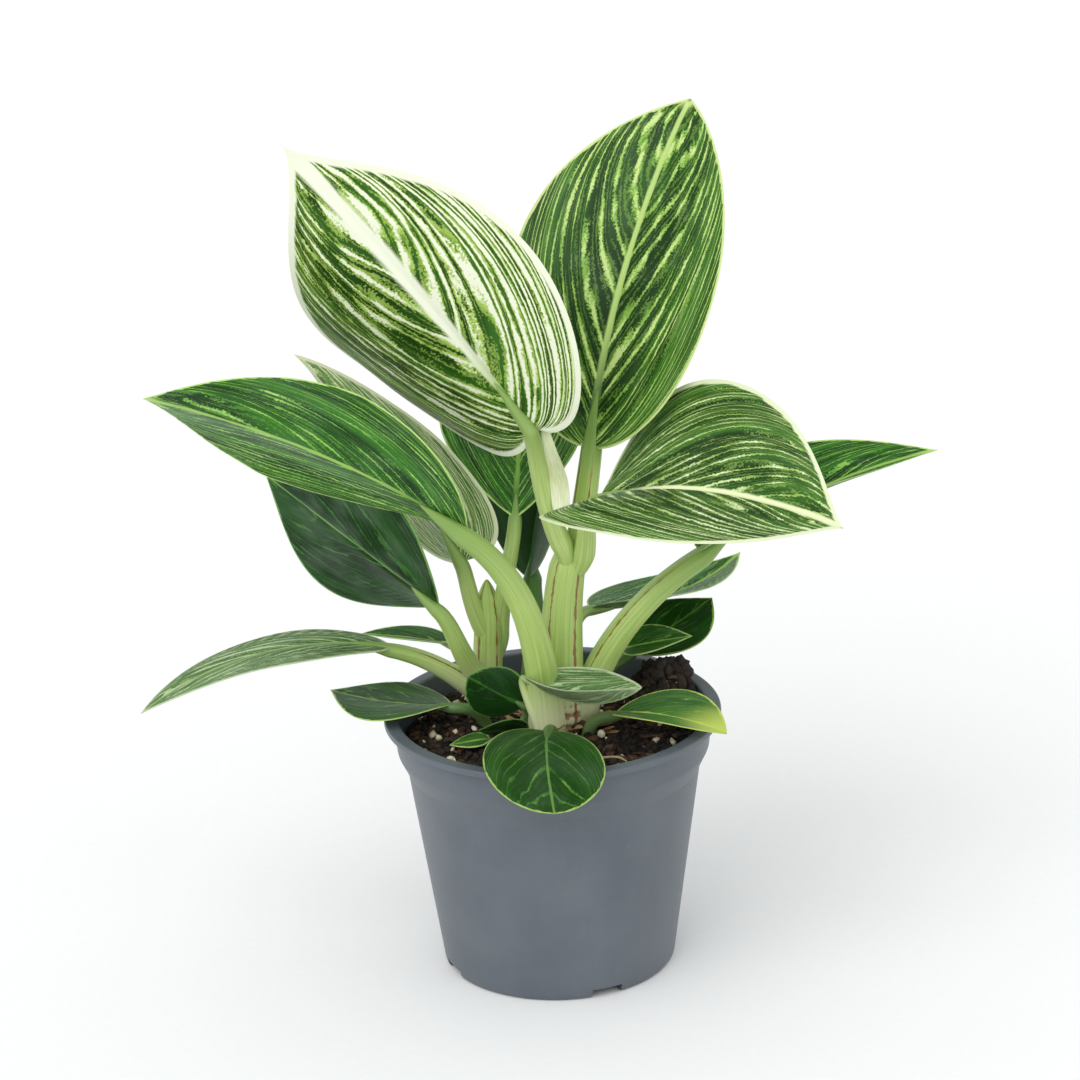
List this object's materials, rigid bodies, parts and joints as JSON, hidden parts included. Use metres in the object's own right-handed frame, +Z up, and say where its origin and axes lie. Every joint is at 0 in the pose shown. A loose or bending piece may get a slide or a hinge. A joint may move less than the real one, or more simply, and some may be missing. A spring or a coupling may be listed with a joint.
{
  "type": "potted philodendron",
  "caption": "Young striped-leaf philodendron in a round plastic grower's pot, with potting soil, short stems and broad pointed leaves.",
  "frame": {"origin": "middle of the pot's flat underside, on the surface it stands on", "axes": "+Z up through the pot and the plant; -Y is the front, where the small leaf hangs over the rim; +X is to the right of the front"},
  "size_m": [0.2869, 0.1739, 0.3073],
  "materials": {
    "pot_plastic": "moulded grey polypropylene, satin",
    "soil": "damp peat and coir mix with perlite and bark",
    "stem": "fleshy pale green stem skin, satin",
    "leaf_cream": "waxy leaf skin, cream streaks on dark green",
    "leaf_striped": "waxy leaf skin, lime stripes on dark green",
    "leaf_green": "waxy leaf skin, nearly plain dark green",
    "sheath": "thin papery bud sheath"
  },
  "bodies": {
    "root": {"nursery_pot": "pot_plastic", "potting_soil": "soil", "main_stem": "stem", "second_stem": "stem", "leaf_upper_left": "leaf_cream", "leaf_top": "leaf_striped", "leaf_right": "leaf_striped", "leaf_left": "leaf_striped", "leaf_far_right": "leaf_striped", "leaf_right_slim": "leaf_striped", "leaf_right_small": "leaf_green", "leaf_right_back": "leaf_green", "leaf_low_left": "leaf_striped", "leaf_low_left_back": "leaf_green", "leaf_mid_left": "leaf_green", "leaf_left_pale": "leaf_cream", "leaf_centre_back": "leaf_striped", "leaf_centre_dark": "leaf_green", "leaf_crown_round": "leaf_green", "leaf_crown_right": "leaf_green", "leaf_rim_right": "leaf_green", "leaf_rim_front": "leaf_green", "leaf_rim_left": "leaf_green", "leaf_crown_low": "leaf_green", "leaf_seedling": "leaf_green", "cream_sheath": "sheath"}
  },
  "joints": []
}
